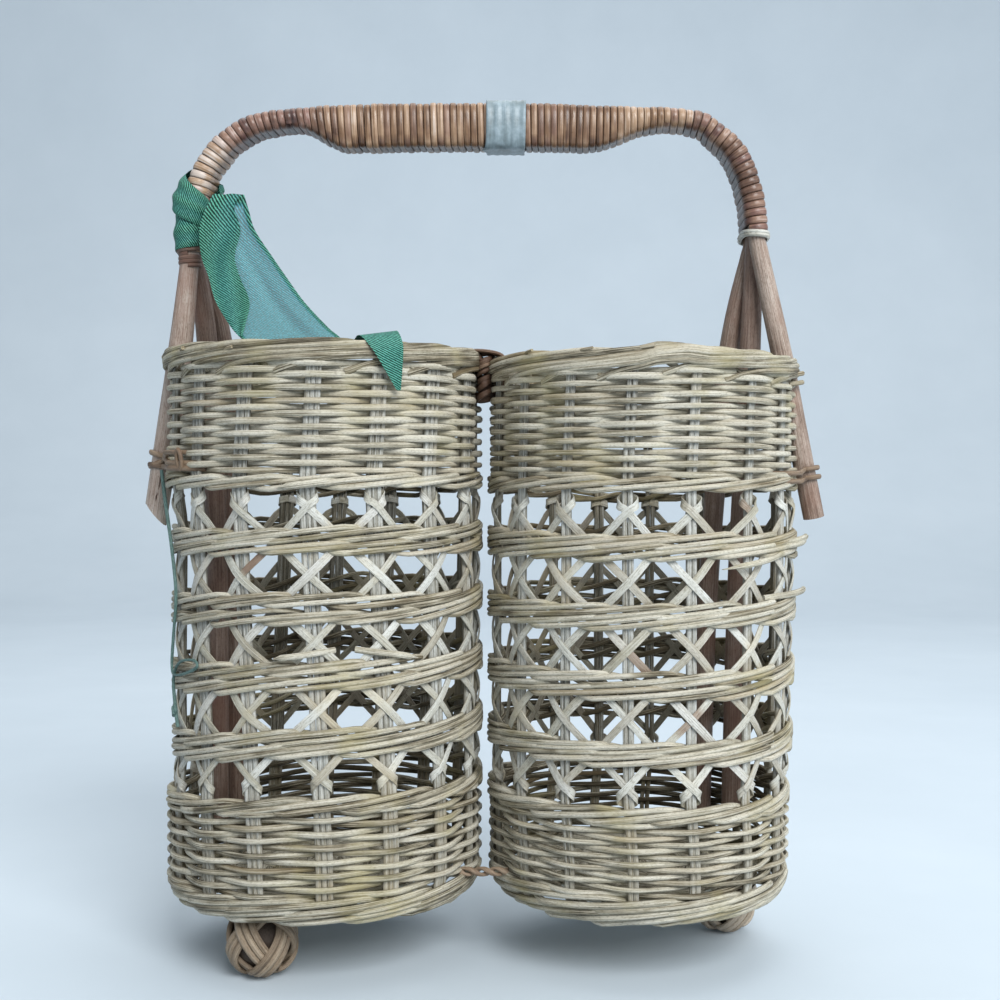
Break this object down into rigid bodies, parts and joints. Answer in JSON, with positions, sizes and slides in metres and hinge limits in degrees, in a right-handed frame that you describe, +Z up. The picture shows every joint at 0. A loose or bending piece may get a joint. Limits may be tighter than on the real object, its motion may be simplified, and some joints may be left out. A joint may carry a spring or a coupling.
{
  "type": "wine bottle basket",
  "caption": "Twin round woven cane baskets, joined side by side on ball feet, each an open lattice well for a bottle, with an arched wrapped rattan handle and a green ribbon.",
  "frame": {"origin": "on the ground, midway between the lower ends of the outer handle cane", "axes": "+X from the left basket to the right one, +Y away from the front, +Z up"},
  "size_m": [0.2362, 0.111, 0.2952],
  "materials": {
    "woven_reed": "dull, aged khaki reed",
    "stake_reed": "dull, fibrous pale reed",
    "pale_cane": "satin flat cane, cream",
    "rattan": "satin rattan bark, reddish brown",
    "wrap_cane": "glossy flat cane, orange tan to red brown",
    "tan_cane": "dull tan cane",
    "green_ribbon": "sheer woven ribbon, deep green",
    "grey_tape": "matt paper tape, grey green"
  },
  "bodies": {
    "root": {"left_base": "woven_reed", "left_lower_wall": "woven_reed", "left_stakes": "stake_reed", "left_lattice": "pale_cane", "left_hoop_1": "woven_reed", "left_hoop_2": "woven_reed", "left_hoop_3": "woven_reed", "left_hoop_4": "woven_reed", "left_upper_wall": "woven_reed", "left_rim_border": "woven_reed", "cane_lashing_left": "tan_cane", "right_base": "woven_reed", "right_lower_wall": "woven_reed", "right_stakes": "stake_reed", "right_lattice": "pale_cane", "right_hoop_1": "woven_reed", "right_hoop_2": "woven_reed", "right_hoop_3": "woven_reed", "right_hoop_4": "woven_reed", "right_upper_wall": "woven_reed", "right_rim_border": "woven_reed", "cane_lashing_right": "tan_cane", "foot_front_left": "tan_cane", "foot_back_left": "tan_cane", "foot_back_right": "tan_cane", "handle_cane_front": "rattan", "handle_cane_middle": "rattan", "handle_cane_back": "rattan", "grip_filler": "rattan", "wrap_left_arm": "wrap_cane", "wrap_grip": "wrap_cane", "wrap_right_arm": "wrap_cane", "end_ring_left": "pale_cane", "end_ring_right": "pale_cane", "grip_tape": "grey_tape", "ribbon_knot": "green_ribbon", "ribbon_tail": "green_ribbon", "rim_tie": "tan_cane", "base_tie": "tan_cane"}
  },
  "joints": []
}
